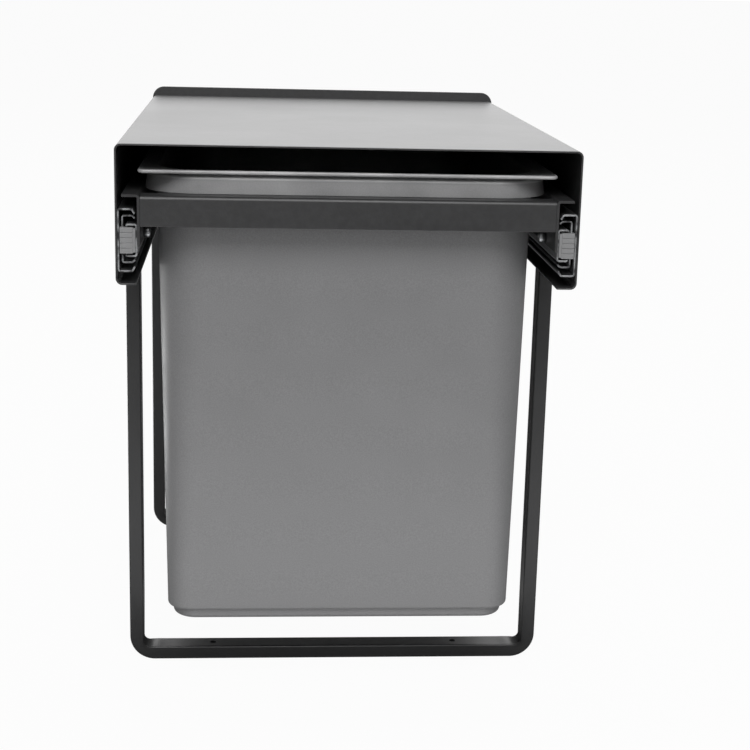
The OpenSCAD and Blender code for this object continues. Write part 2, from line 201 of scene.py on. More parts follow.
def drawn_steel_group():
    """Lines left along rolled strip, running front to back, with dull plating clouds."""
    group, start, end = new_group(
        "drawn_steel",
        [("Place", "NodeSocketVector", None), ("Line", "NodeSocketFloat", 900.0)],
        [("Streak", "NodeSocketFloat"), ("Cloud", "NodeSocketFloat")])
    t = Tree(group)
    place, line = start.outputs[:2]
    stretch = t.add("ShaderNodeVectorMath", operation="MULTIPLY")
    t.feed(place, stretch.inputs[0])
    stretch.inputs[1].default_value = ROLLED_STRETCH
    t.feed(t.noise(stretch.outputs[0], line, rough=0.6), end.inputs["Streak"])
    t.feed(t.noise(place, PLATING_SCALE, detail=4.0, rough=0.6), end.inputs["Cloud"])
    return group


COAT_PEEL, EDGE_RUB_AND_HIGHLIGHT = coat_peel_group(), edge_rub_and_highlight_group()
MOULD_GRAIN, DRAWN_STEEL = mould_grain_group(), drawn_steel_group()

# Finishes: factors on a finish's own tone, one of them painted shade in the hoops' creases, then amounts of
# wear and of painted edge highlight, then strengths and depths (m) of relief

COAT_CLOUD, CREASE_SHADE, ZINC_CLOUD, MOTTLE_DARK, MOTTLE_PALE = 1.18, 0.3, 0.82, 0.94, 1.06
CREASE_DULL, CUT_DULL, ZINC_RUB, PLASTIC_RUB_AND_HIGHLIGHT, PLASTIC_RUB_AND_HIGHLIGHT_PATCH = 0.4, 0.18, 0.8, 0.9, 14.0
CUT_SCALE, CUT_BREAK, CUT_LEAST = 190.0, (0.4, 0.62), 0.25
SPECK, SPECK_SCALE, SPECK_SPREAD = 0.04, 1.4, (0.25, 0.75)
PEEL_BUMP, PEEL_DEPTH, STREAK_BUMP, STREAK_DEPTH, PIT_DEPTH = 0.3, 0.0003, 0.12, 0.0002, 0.0002
GLAZE_ROUGHNESS = 0.2
BALL_DARK, BALL_PALE, BALL_SMOOTH, BALL_DULL = (0.62, 0.62, 0.64), (0.74, 0.74, 0.76), 0.08, 0.2


def start_material(name):
    material = bpy.data.materials.new(name)
    material.use_nodes = True
    t = Tree(material.node_tree)
    place = t.add("ShaderNodeTexCoord").outputs["Object"]
    return material, t, t.nodes["Principled BSDF"], place


def use_group(t, group, **values):
    node = t.add("ShaderNodeGroup", node_tree=group)
    for key, value in values.items():
        t.feed(value, node.inputs[key])
    return node.outputs


def bump(t, shader, height, strength, distance):
    node = t.add("ShaderNodeBump")
    node.inputs["Strength"].default_value = strength
    node.inputs["Distance"].default_value = distance
    t.feed(height, node.inputs["Height"])
    t.feed(node.outputs["Normal"], shader.inputs["Normal"])


def powder_coat(name, dark, pale, smooth, dull, rub_and_highlight, glaze=0.0):
    """Sprayed coat, paler on rubbed edges, which also paints a highlight along them, and painted darker as
    shade and duller in pressed creases, with some clear glaze over it.
    """
    material, t, shader, place = start_material(name)
    peel = use_group(t, COAT_PEEL, Place=place)
    mask = use_group(t, EDGE_RUB_AND_HIGHLIGHT, Place=place, Edge=t.attribute("edge"), Amount=rub_and_highlight)["Mask"]
    crease = t.attribute("crease")
    tone = t.mix(peel["Cloud"], rgba(dark), rgba(dark, COAT_CLOUD))
    # paler edges: rubbed wear, which also paints a highlight line along them
    wear_and_painted_light = t.mix(mask, tone, rgba(pale))
    # painted shade: the crease mask darkens the coat in the hoops' pressed inner bends
    t.feed(t.mix(crease, wear_and_painted_light, rgba(dark, CREASE_SHADE)), shader.inputs["Base Color"])
    rough = t.span(peel["Cloud"], *NOISE_SPREAD, smooth, dull)
    t.feed(t.math("ADD", rough, t.math("MULTIPLY", crease, CREASE_DULL)), shader.inputs["Roughness"])
    bump(t, shader, peel["Height"], PEEL_BUMP, PEEL_DEPTH)
    shader.inputs["Coat Weight"].default_value = glaze
    shader.inputs["Coat Roughness"].default_value = GLAZE_ROUGHNESS
    return material


def zinc_plate(name, tone, bright, cut_tone, smooth, dull):
    """Plated strip; its ends, the faces that point front or back, are darker and patchy."""
    material, t, shader, place = start_material(name)
    strip = use_group(t, DRAWN_STEEL, Place=place)
    mask = use_group(t, EDGE_RUB_AND_HIGHLIGHT, Place=place, Edge=t.attribute("edge"), Amount=ZINC_RUB)["Mask"]
    cut = t.attribute("cut")
    plated = t.mix(strip["Cloud"], rgba(tone, ZINC_CLOUD), rgba(tone))
    wear_and_painted_light = t.mix(mask, plated, rgba(bright))
    patch = t.span(t.noise(place, CUT_SCALE), *CUT_BREAK, CUT_LEAST, 1.0)
    t.feed(t.mix(t.math("MULTIPLY", cut, patch), wear_and_painted_light, rgba(cut_tone)), shader.inputs["Base Color"])
    rough = t.span(strip["Streak"], *NOISE_SPREAD, smooth, dull)
    t.feed(t.math("ADD", rough, t.math("MULTIPLY", cut, CUT_DULL)), shader.inputs["Roughness"])
    shader.inputs["Metallic"].default_value = 1.0
    bump(t, shader, strip["Streak"], STREAK_BUMP, STREAK_DEPTH)
    return material


def moulded_plastic(name, tone, rub_and_highlight_tone, smooth, dull, polished, pit, relief):
    """Moulded plastic with fine specks; its marked edges are paler and smoother: rubbed on the buffers, a
    painted highlight on the bin's lip and collar.
    """
    material, t, shader, place = start_material(name)
    edge = t.attribute("edge")
    grain = use_group(t, MOULD_GRAIN, Place=place, Pit=pit)
    mask = use_group(t, EDGE_RUB_AND_HIGHLIGHT, Place=place, Edge=edge, Patch=PLASTIC_RUB_AND_HIGHLIGHT_PATCH, Amount=PLASTIC_RUB_AND_HIGHLIGHT)["Mask"]
    skin = t.mix(grain["Mottle"], rgba(tone, MOTTLE_DARK), rgba(tone, MOTTLE_PALE))
    speck = t.span(t.noise(place, pit * SPECK_SCALE, detail=1.0), *SPECK_SPREAD, 0.0, 1.0)
    skin = t.mix(speck, t.mix(SPECK, skin, (0, 0, 0, 1)), t.mix(SPECK, skin, (1, 1, 1, 1)))
    # marked edges go paler: rubbed on the buffers, a painted highlight on the bin
    t.feed(t.mix(mask, skin, rgba(rub_and_highlight_tone)), shader.inputs["Base Color"])
    rough = t.span(grain["Mottle"], *NOISE_SPREAD, smooth, dull)
    t.feed(t.span(edge, 0.0, 1.0, rough, polished), shader.inputs["Roughness"])
    bump(t, shader, grain["Height"], relief, PIT_DEPTH)
    return material


def ball_steel():
    material, t, shader, place = start_material("polished_balls")
    cloud = use_group(t, DRAWN_STEEL, Place=place)["Cloud"]
    t.feed(t.mix(cloud, rgba(BALL_DARK), rgba(BALL_PALE)), shader.inputs["Base Color"])
    t.feed(t.span(cloud, *NOISE_SPREAD, BALL_SMOOTH, BALL_DULL), shader.inputs["Roughness"])
    shader.inputs["Metallic"].default_value = 1.0
    return material


COAT = powder_coat("graphite_powder_coat", dark=(0.017, 0.017, 0.0175), pale=(0.05, 0.05, 0.052),
                   smooth=0.36, dull=0.46, rub_and_highlight=0.5)
COVER_COAT = powder_coat("cover_powder_coat", dark=(0.015, 0.015, 0.0155), pale=(0.05, 0.05, 0.052),
                         smooth=0.4, dull=0.44, rub_and_highlight=0.5, glaze=0.3)
ZINC = zinc_plate("zinc_plated_slide", tone=(0.42, 0.43, 0.44), bright=(0.66, 0.67, 0.68),
                  cut_tone=(0.07, 0.07, 0.072), smooth=0.28, dull=0.42)
CAGE = zinc_plate("rolled_cage_strip", tone=(0.38, 0.37, 0.32), bright=(0.5, 0.49, 0.45),
                  cut_tone=(0.08, 0.08, 0.07), smooth=0.35, dull=0.5)
BALL = ball_steel()
BUFFER = moulded_plastic("buffer_plastic", tone=(0.19, 0.191, 0.194), rub_and_highlight_tone=(0.25, 0.25, 0.255),
                         smooth=0.42, dull=0.55, polished=0.4, pit=1200.0, relief=0.12)
# The bin's paler edge tone paints a highlight on its lip and collar top, and lighter light on the collar's
# face
BIN = moulded_plastic("bin_plastic", tone=(0.155, 0.155, 0.158), rub_and_highlight_tone=(0.56, 0.56, 0.563),
                      smooth=0.44, dull=0.56, polished=0.3, pit=800.0, relief=0.16)

# Mesh helpers: lengths in m, angles in degrees

TINY, FLAT_ANGLE, ROUND_ANGLE, KEEN_ANGLE = 1e-6, 0.5, 50.0, 30.0
FLAT_WEIGHT, EDGE_SEGMENTS, CUT_FACING = 60, 2, 0.9


def to_object(bm, name, material):
    """Makes a piece at the origin out of finished mesh data."""
    mesh = bpy.data.meshes.new(name)
    bm.to_mesh(mesh)
    bm.free()
    mesh.materials.append(material)
    piece = bpy.data.objects.new(name, mesh)
    scene.collection.objects.link(piece)
    return piece


def freeze(piece):
    """Turns a piece with modifiers into a plain mesh."""
    bpy.context.view_layer.update()
    graph = bpy.context.evaluated_depsgraph_get()
    shaped = piece.evaluated_get(graph)
    mesh = bpy.data.meshes.new_from_object(shaped, preserve_all_data_layers=True, depsgraph=graph)
    piece.modifiers.clear()
    piece.data = mesh
    return piece


def settle_normals(piece):
    """Keeps wide flat faces flat next to their rounded edges."""
    bm = bmesh.new()
    bm.from_mesh(piece.data)
    for edge in bm.edges:
        edge.smooth = len(edge.link_faces) == 2 and edge.calc_face_angle() < radians(ROUND_ANGLE)
    bm.to_mesh(piece.data)
    bm.free()
    modifier = piece.modifiers.new("flats", "WEIGHTED_NORMAL")
    modifier.weight, modifier.keep_sharp = FLAT_WEIGHT, True
    return freeze(piece)


def bridge(bm, rings):
    """Joins closed rings of points in a row by smooth faces."""
    count = len(rings[0])
    for a, b in zip(rings, rings[1:]):
        for i in range(count):
            j = (i + 1) % count
            bm.faces.new((a[i], a[j], b[j], b[i])).smooth = True


def soften(bm, edge):
    """Rounds the sharp edges and marks the rounded line in the edge mask."""
    bmesh.ops.remove_doubles(bm, verts=bm.verts, dist=TINY)
    bmesh.ops.dissolve_limit(bm, angle_limit=radians(FLAT_ANGLE), verts=bm.verts, edges=bm.edges)
    keen = [e for e in bm.edges
            if len(e.link_faces) == 2 and e.calc_face_angle() > radians(KEEN_ANGLE)]
    made = bmesh.ops.bevel(bm, geom=keen, offset=edge, offset_type="OFFSET", segments=EDGE_SEGMENTS,
                           profile=0.5, affect="EDGES", clamp_overlap=True)
    rounded = set(made["faces"])
    mask = bm.verts.layers.float.new("edge")
    for vert in bm.verts:
        faces = vert.link_faces
        if faces:
            vert[mask] = sum(f in rounded for f in faces) / len(faces)
    for face in bm.faces:
        face.smooth = True


def dress(node, name, body, material, edge):
    """A softened copy of a CAD node, in its own finish, with its sheared ends marked."""
    bm = bmesh.new()
    bm.from_mesh(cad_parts[node].data)
    for layer in list(bm.loops.layers.uv):
        bm.loops.layers.uv.remove(layer)
    soften(bm, edge * MM)
    cut = bm.faces.layers.float.new("cut")
    for face in bm.faces:
        face.material_index = 0
        face[cut] = 1.0 if abs(face.normal.y) > CUT_FACING else 0.0
    piece = settle_normals(to_object(bm, name, material))
    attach(piece, body)
    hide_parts(node)
    return piece


# Sheet pieces, slides and buffers: rounding of their edges in mm

COVER_EDGE, SHEET_EDGE, SLIDE_EDGE, CAGE_EDGE, BUFFER_EDGE = 0.4, 0.5, 0.22, 0.12, 0.3

dress("cover_housing", "cover_shell", "frame", COVER_COAT, COVER_EDGE)
dress("rear_panel", "rear_plate", "frame", COAT, SHEET_EDGE)
for side in ("left", "right"):
    dress(f"rail_{side}", f"carriage_rail_{side}", "carriage", COAT, SHEET_EDGE)
    dress(f"outer_member_{side}", f"outer_slide_{side}", "frame", ZINC, SLIDE_EDGE)
    dress(f"middle_member_{side}", f"middle_slide_{side}", "middle_members", ZINC, SLIDE_EDGE)
    dress(f"inner_member_{side}", f"inner_slide_{side}", "carriage", ZINC, SLIDE_EDGE)
    dress(f"outer_cage_{side}", f"outer_ball_cage_{side}", "outer_cages", CAGE, CAGE_EDGE)
    dress(f"inner_cage_{side}", f"inner_ball_cage_{side}", "inner_cages", CAGE, CAGE_EDGE)
    dress(f"end_buffer_{side}", f"slide_buffer_{side}", "carriage", BUFFER, BUFFER_EDGE)
for end in ("front", "rear"):
    dress(f"{end}_crossbar", f"{end}_bar", "carriage", COAT, SHEET_EDGE)

# Floor hoops: lengths in mm

TUBE_THICK, TUBE_EDGE = 12.0, 1.5
BEND_OUT, BEND_IN = 22.0, 5.0
HOLE_REACH, HOLE_RADIUS, HOLE_SIDES = 108.5, 2.75, 32
# Pressed pocket, its crease, which is painted dark as shade and made duller, and the low swell beside it,
# inside each lower bend
DENT, DENT_RUN, DENT_PLACE, CREASE_RUN = 3.0, 5.0, 0.3, 6.5
BULGE, BULGE_RUN, BULGE_REACH = 0.7, 4.0, 12.0
LEG_STEPS, BEND_STEPS, EDGE_STEPS, FACE_STEPS = 8, 16, 6, 10
# Shares of the way from the bend to the middle of the bar, close together near the bend
BAR_STOPS = (0.01, 0.02, 0.03, 0.04, 0.05, 0.06, 0.075, 0.09, 0.11, 0.14, 0.2, 0.3, 0.4, 0.6, 0.8, 1.0)


def hoop_stations(half, top):
    """Outer and inner point pairs along the right half of a hoop, from its top to the middle of its bar."""
    turn_x, turn_z = half - TUBE_THICK - BEND_IN, TUBE_THICK + BEND_IN
    pairs = []
    for i in range(LEG_STEPS + 1):
        f = i / LEG_STEPS
        pairs.append(((half, top + (BEND_OUT - top) * f), (half - TUBE_THICK, top + (turn_z - top) * f)))
    for i in range(1, BEND_STEPS + 1):
        a = pi / 2 * i / BEND_STEPS
        outer = (half - BEND_OUT + BEND_OUT * cos(a), BEND_OUT - BEND_OUT * sin(a))
        inner = (turn_x + BEND_IN * cos(a), turn_z - BEND_IN * sin(a))
        pairs.append((outer, inner))
    for f in BAR_STOPS:
        pairs.append((((half - BEND_OUT) * (1 - f), 0.0), (turn_x * (1 - f), TUBE_THICK)))
    return pairs


def tube_ring(thick, half):
    """Rounded section of the flat tube: (out from the inner face, along the depth, edge mask) points."""
    ring = []
    far, deep = thick - TUBE_EDGE, half - TUBE_EDGE
    corners = ((far, deep), (TUBE_EDGE, deep), (TUBE_EDGE, -deep), (far, -deep))
    for quarter, (u, v) in enumerate(corners):
        for i in range(EDGE_STEPS + 1):
            a = pi / 2 * (quarter + i / EDGE_STEPS)
            # the middle of each rounded edge is marked paler: rubbed wear and a painted highlight line
            wear_and_painted_light = 1.0 if abs(i - EDGE_STEPS / 2) < 2 else 0.0
            ring.append((u + TUBE_EDGE * cos(a), v + TUBE_EDGE * sin(a), wear_and_painted_light))
        if quarter == 1:
            ring += [(0.0, deep * (1 - 2 * k / FACE_STEPS), 0.0) for k in range(1, FACE_STEPS)]
    return ring


def drill_holes(hoop, middle):
    """Cuts the two floor screw holes through the bar of a hoop."""
    drill = bmesh.new()
    radius = HOLE_RADIUS * MM
    for x in (-HOLE_REACH, HOLE_REACH):
        place = Matrix.Translation((x * MM, middle * MM, TUBE_THICK / 2 * MM))
        bmesh.ops.create_cone(drill, cap_ends=True, segments=HOLE_SIDES, radius1=radius, radius2=radius,
                              depth=2 * TUBE_THICK * MM, matrix=place)
    cutter = to_object(drill, hoop.name + "_drill", COAT)
    cut = hoop.modifiers.new("holes", "BOOLEAN")
    cut.object, cut.operation, cut.solver = cutter, "DIFFERENCE", "EXACT"
    freeze(hoop)
    bpy.data.objects.remove(cutter)


def make_hoop(node, name):
    low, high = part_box(node)[:2]
    half, top = high.x / MM, high.z / MM
    middle, depth = (low.y + high.y) / 2 / MM, (high.y - low.y) / 2 / MM
    right = hoop_stations(half, top)
    stations = right + [((-o[0], o[1]), (-i[0], i[1])) for o, i in reversed(right[:-1])]
    corner = Vector((half - TUBE_THICK - BEND_IN * DENT_PLACE, TUBE_THICK + BEND_IN * DENT_PLACE))
    bm = bmesh.new()
    mask, crease = bm.verts.layers.float.new("edge"), bm.verts.layers.float.new("crease")
    rings = []
    for outer, inner in stations:
        outer, inner = Vector(outer), Vector(inner)
        across = (outer - inner).normalized()
        ring = []
        for u, v, wear_and_painted_light in tube_ring((outer - inner).length, depth):
            flat = inner + across * u
            reach = hypot(abs(flat.x) - corner.x, flat.y - corner.y)
            swell = hypot(abs(flat.x) - corner.x + BULGE_REACH, flat.y - corner.y)
            press = DENT * exp(-(reach / DENT_RUN) ** 2) - BULGE * exp(-(swell / BULGE_RUN) ** 2)
            flat += across * (press * (1 - (v / depth) ** 2))
            vert = bm.verts.new((flat.x * MM, (middle + v) * MM, flat.y * MM))
            # painted shade: the crease value darkens the coat around the pressed pocket at the inner bend
            vert[mask], vert[crease] = wear_and_painted_light, exp(-(reach / CREASE_RUN) ** 4)
            ring.append(vert)
        rings.append(ring)
    bridge(bm, rings)
    bm.faces.new(rings[0])
    bm.faces.new(list(reversed(rings[-1])))
    bmesh.ops.recalc_face_normals(bm, faces=bm.faces)
    hoop = to_object(bm, name, COAT)
    drill_holes(hoop, middle)
    settle_normals(hoop)
    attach(hoop, "frame")
    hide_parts(node)


make_hoop("front_hoop", "front_floor_hoop")
make_hoop("rear_hoop", "rear_floor_hoop")

# Bin: lengths in mm; set-ins are measured from the outside of the lip

LIP_CORNER, COLLAR_CORNER, BODY_CORNER, FLOOR_CORNER, FOOT_CORNER = 6.0, 44.0, 44.0, 20.0, 20.0
COLLAR_IN, COLLAR_LEAN, GROOVE_IN, SKIRT_IN, SKIRT_GAP, BODY_IN = 3.5, 1.4, 8.4, 6.8, 1.0, 12.3
RIM_TO_LEDGE, RIM_TO_COLLAR, RIM_SKIN, RIM_FALL = 19.0, 5.0, 3.6, 1.6
LIP_ROUND, COLLAR_ROUND, LEDGE_ROUND, MOUTH_ROUND = 1.5, 2.5, 0.5, 1.5
BIN_LEAN, BIN_WALL, FLOOR_ROUND, WELL_IN = 7.7, 2.5, 3.0, 1.5
FOOT_STEP, FOOT_RISE, FOOT_ROUND, STEP_ROUND = 4.5, 9.0, 4.0, 1.0
# Width of the step into a painted highlight band; painted lighter tone on the collar's face and ledge
HIGHLIGHT_STEP, COLLAR_PAINTED_LIGHT = 0.4, 0.35
CORNER_STEPS, WALL_STEPS = 18, 10
# Start and stop in degrees and number of steps of the rounded parts of the section
FOOT_ARC, STEP_ARC, FLOOR_ARC = (-90, 0, 6), (0, -90, 3), (-85, 0, 8)
LEDGE_ARC, COLLAR_ARC, LIP_ARC = (-90, 0, 3), (0, 90, 5), (-90, 90, 12)
MOUTH_ARC, INSIDE_ARC = (270, 360, 5), (0, -85, 6)


def bin_level(inset, z, outline, wear_and_painted_light=0.0):
    """Level parallel to an outline, which is a corner radius and the set-in where it holds."""
    return inset, z, outline[0] + outline[1] - inset, wear_and_painted_light


def bin_arc(inset, z, radius, arc, outline, wear_and_painted_light=0.0):
    """Levels along an arc about a point of the section; a radius below zero turns it inside out."""
    start, stop, steps = arc
    angles = [radians(start + (stop - start) * i / steps) for i in range(steps + 1)]
    return [bin_level(inset - radius * cos(a), z + radius * sin(a), outline, wear_and_painted_light) for a in angles]


def bin_wall(start, stop):
    """Levels between two others."""
    return [tuple(p + (q - p) * i / WALL_STEPS for p, q in zip(start, stop)) for i in range(1, WALL_STEPS)]


def bin_levels(low, high):
    """Set-in, height, corner radius and painted light of each level, from under the foot round the rim to the
    floor.
    """
    z0, rim = low.z / MM, high.z / MM
    ledge, collar_top, mouth = rim - RIM_TO_LEDGE, rim - RIM_TO_COLLAR, rim - RIM_FALL
    floor, floor_in = z0 + FOOT_RISE, BODY_IN + BIN_LEAN
    inner_floor, foot_in = floor + BIN_WALL, floor_in + FOOT_STEP
    lip, collar, body = (LIP_CORNER, 0.0), (COLLAR_CORNER, COLLAR_IN), (BODY_CORNER, BODY_IN)
    base, foot = (FLOOR_CORNER, floor_in), (FOOT_CORNER, foot_in)
    # Foot and outer wall
    levels = bin_arc(foot_in + FOOT_ROUND, z0 + FOOT_ROUND, FOOT_ROUND, FOOT_ARC, foot)
    levels += bin_arc(foot_in - STEP_ROUND, floor - STEP_ROUND, -STEP_ROUND, STEP_ARC, foot)
    levels += bin_arc(floor_in + FLOOR_ROUND, floor + FLOOR_ROUND, FLOOR_ROUND, FLOOR_ARC, base)
    top = bin_level(BODY_IN, rim - RIM_SKIN, body)
    levels += bin_wall(levels[-1], top)
    # Inside and outside of the collar
    levels += [top, bin_level(BODY_IN - SKIRT_GAP, rim - RIM_SKIN, collar), bin_level(SKIRT_IN, ledge, collar)]
    # painted light: the collar's ledge and face carry a paler tone, and its top rounding a painted highlight
    levels += bin_arc(COLLAR_IN + LEDGE_ROUND, ledge + LEDGE_ROUND, LEDGE_ROUND, LEDGE_ARC, collar, COLLAR_PAINTED_LIGHT)
    ease_in, ease_z = COLLAR_IN + COLLAR_LEAN + COLLAR_ROUND, collar_top - COLLAR_ROUND
    levels += [bin_level(ease_in - COLLAR_ROUND, ease_z - HIGHLIGHT_STEP, collar, COLLAR_PAINTED_LIGHT)]
    levels += bin_arc(ease_in, ease_z, COLLAR_ROUND, COLLAR_ARC, collar, 1.0)
    # Groove, lip and mouth
    levels += [bin_level(GROOVE_IN, collar_top, collar), bin_level(GROOVE_IN, rim - 2 * LIP_ROUND, collar)]
    # painted highlight: the lip's rounding is marked fully paler
    levels += bin_arc(LIP_ROUND, rim - LIP_ROUND, LIP_ROUND, LIP_ARC, lip, 1.0)
    plain = rim - RIM_FALL * HIGHLIGHT_STEP / (BODY_IN - LIP_ROUND)
    levels += [bin_level(LIP_ROUND + HIGHLIGHT_STEP, plain, lip), bin_level(BODY_IN, mouth, body)]
    levels += bin_arc(BODY_IN + BIN_WALL - MOUTH_ROUND, mouth - MOUTH_ROUND, -MOUTH_ROUND, MOUTH_ARC, body)
    # Inner wall and floor
    well_in = floor_in + BIN_WALL + FLOOR_ROUND
    bottom = bin_arc(well_in, inner_floor + FLOOR_ROUND, FLOOR_ROUND, INSIDE_ARC, base)
    levels += bin_wall(levels[-1], bottom[0]) + bottom
    levels += [bin_level(foot_in + BIN_WALL, inner_floor, foot),
               bin_level(foot_in + WELL_IN * BIN_WALL, z0 + BIN_WALL, foot)]
    return levels


def make_bin():
    low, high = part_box("bin")[:2]
    middle = (low + high) / 2 / MM
    half = (high - low) / 2 / MM
    bm = bmesh.new()
    mask = bm.verts.layers.float.new("edge")
    rings = []
    for inset, z, radius, wear_and_painted_light in bin_levels(low, high):
        ring = []
        for k, (sx, sy) in enumerate(((1, 1), (-1, 1), (-1, -1), (1, -1))):
            for i in range(CORNER_STEPS + 1):
                a = pi / 2 * (k + i / CORNER_STEPS)
                x = middle.x + sx * (half.x - inset - radius) + radius * cos(a)
                y = middle.y + sy * (half.y - inset - radius) + radius * sin(a)
                vert = bm.verts.new((x * MM, y * MM, z * MM))
                vert[mask] = wear_and_painted_light
                ring.append(vert)
        rings.append(ring)
    bridge(bm, rings)
    bm.faces.new(list(reversed(rings[0]))).smooth = True
    bm.faces.new(rings[-1]).smooth = True
    piece = to_object(bm, "hanging_bin", BIN)
    settle_normals(piece)
    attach(piece, "bin")
    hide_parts("bin")


make_bin()

# Rivets and balls, by geometry nodes: lengths in mm

# Rivet section as (along, radius), from its dished head inside the carriage through the rail
RIVET_PROFILE = [(-5.2, 0.0), (-5.2, 1.75), (-5.35, 1.95), (-5.85, 2.1), (-6.0, 2.4), (-5.95, 2.8),
                 (-5.6, 3.3), (-5.1, 3.7), (-4.4, 4.0), (0.0, 4.0), (0.02, 2.5), (3.4, 2.5),
                 (3.42, 3.75), (4.0, 3.7), (4.6, 3.0), (4.6, 0.0)]
RIVET_HEAD, RIVET_SIDES, RIVETS = 4.0, 32, 3
BALL_RADIUS, BALL_STEPS, BALL_SIDES, BALLS, BALL_TURN = 2.0, 12, 20, 6, 0.7
FULL_SIZE = 1.0


def scatter_tree(name, material):
    """Puts copies of a small shape on given points, then makes them one mesh in one finish."""
    tree = bpy.data.node_groups.new(name, "GeometryNodeTree")
    tree.interface.new_socket("Points", in_out="INPUT", socket_type="NodeSocketGeometry")
    tree.interface.new_socket("Shape", in_out="INPUT", socket_type="NodeSocketObject")
    size = tree.interface.new_socket("Size", in_out="INPUT", socket_type="NodeSocketFloat")
    size.default_value = FULL_SIZE
    tree.interface.new_socket("Pieces", in_out="OUTPUT", socket_type="NodeSocketGeometry")
    nodes, links = tree.nodes, tree.links
    start, end = nodes.new("NodeGroupInput"), nodes.new("NodeGroupOutput")
    shape = nodes.new("GeometryNodeObjectInfo")
    turn = nodes.new("GeometryNodeInputNamedAttribute")
    turn.data_type = "FLOAT_VECTOR"
    turn.inputs["Name"].default_value = "turn"
    place = nodes.new("GeometryNodeInstanceOnPoints")
    real = nodes.new("GeometryNodeRealizeInstances")
    finish = nodes.new("GeometryNodeSetMaterial")
    finish.inputs["Material"].default_value = material
    links.new(start.outputs["Points"], place.inputs["Points"])
    links.new(start.outputs["Shape"], shape.inputs["Object"])
    links.new(shape.outputs["Geometry"], place.inputs["Instance"])
    links.new(turn.outputs["Attribute"], place.inputs["Rotation"])
    links.new(start.outputs["Size"], place.inputs["Scale"])
    links.new(place.outputs["Instances"], real.inputs["Geometry"])
    links.new(real.outputs["Geometry"], finish.inputs["Geometry"])
    links.new(finish.outputs["Geometry"], end.inputs["Pieces"])
    return tree


def scatter(name, tree, shape, spots):
    """Runs a scatter tree on spots of (point, turn) and keeps its plain mesh."""
    mesh = bpy.data.meshes.new(name)
    mesh.from_pydata([p for p, _ in spots], [], [])
    turn = mesh.attributes.new("turn", "FLOAT_VECTOR", "POINT")
    for item, (_, angle) in zip(turn.data, spots):
        item.vector = angle
    piece = bpy.data.objects.new(name, mesh)
    scene.collection.objects.link(piece)
    modifier = piece.modifiers.new("pieces", "NODES")
    modifier.node_group = tree
    values = {"Shape": shape, "Size": FULL_SIZE}
    for item in tree.interface.items_tree:
        if item.in_out == "INPUT" and item.name in values:
            modifier[item.identifier] = values[item.name]
    return freeze(piece)


def spun_shape(name, profile, sides, material):
    """Shape turned about +X from (along, radius) points."""
    bm = bmesh.new()
    angles = [2 * pi * i / sides for i in range(sides)]
    rings = []
    for along, radius in profile:
        x, r = along * MM, radius * MM
        if radius < TINY:
            rings.append([bm.verts.new((x, 0, 0))])
        else:
            rings.append([bm.verts.new((x, r * cos(a), r * sin(a))) for a in angles])
    for a, b in zip(rings, rings[1:]):
        for i in range(sides):
            j = (i + 1) % sides
            if len(a) == 1:
                bm.faces.new((a[0], b[i], b[j]))
            elif len(b) == 1:
                bm.faces.new((a[i], b[0], a[j]))
            else:
                bm.faces.new((a[i], b[i], b[j], a[j]))
    bmesh.ops.recalc_face_normals(bm, faces=bm.faces)
    for face in bm.faces:
        face.smooth = True
    return to_object(bm, name, material)


def make_rivets():
    shape = spun_shape("rivet_shape", RIVET_PROFILE, RIVET_SIDES, ZINC)
    tree = scatter_tree("rivet_rows", ZINC)
    for side, turn in (("right", 0.0), ("left", pi)):
        node = f"rail_rivets_{side}"
        low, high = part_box(node)[:2]
        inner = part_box(f"rail_{side}")
        face = inner[0].x if side == "right" else inner[1].x
        z = (low.z + high.z) / 2
        first, last = low.y + RIVET_HEAD * MM, high.y - RIVET_HEAD * MM
        step = (last - first) / (RIVETS - 1)
        spots = [((face, first + step * i, z), (0, 0, turn)) for i in range(RIVETS)]
        piece = scatter(f"rail_rivet_row_{side}", tree, shape, spots)
        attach(piece, "carriage")
        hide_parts(node)
    bpy.data.objects.remove(shape)


def make_balls():
    angles = [pi * i / BALL_STEPS for i in range(BALL_STEPS + 1)]
    profile = [(-BALL_RADIUS * cos(a), BALL_RADIUS * sin(a)) for a in angles]
    shape = spun_shape("ball_shape", profile, BALL_SIDES, BALL)
    tree = scatter_tree("ball_rows", BALL)
    r = BALL_RADIUS * MM
    for row in ("outer", "inner"):
        spots = []
        for side in ("left", "right"):
            low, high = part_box(f"{row}_balls_{side}")[:2]
            x, first = (low.x + high.x) / 2, low.y + r
            step = (high.y - r - first) / (BALLS - 1)
            for z in (low.z + r, high.z - r):
                spots += [((x, first + step * i, z), (0, 0, BALL_TURN * i)) for i in range(BALLS)]
        piece = scatter(f"{row}_ball_rows", tree, shape, spots)
        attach(piece, f"{row}_cages")
        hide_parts(f"{row}_balls_left", f"{row}_balls_right")
    bpy.data.objects.remove(shape)


make_rivets()
make_balls()

# Stage and light: lengths in m

FLOOR_WHITE, FLOOR_TONE, SKY_FILL = 0.96, 0.6, 0.1
FLOOR_HALF, FLOOR_DROP = 60.0, 0.0005
# How brightly the floor mirrors in glossy pieces, from well in front of the object to its middle, with a
# painted pool of light close in front and a painted shadow just before the object
FLOOR_GLEAM = ((-1.2, 0.15), (-0.5, 0.42), (-0.26, 0.42), (-0.17, 0.12), (-0.1, 0.3))
# The sky mirrors more brightly toward the rear, like a large white panel behind the object
REAR_GLEAM, REAR_RISE = 1.5, (0.2, 0.7)
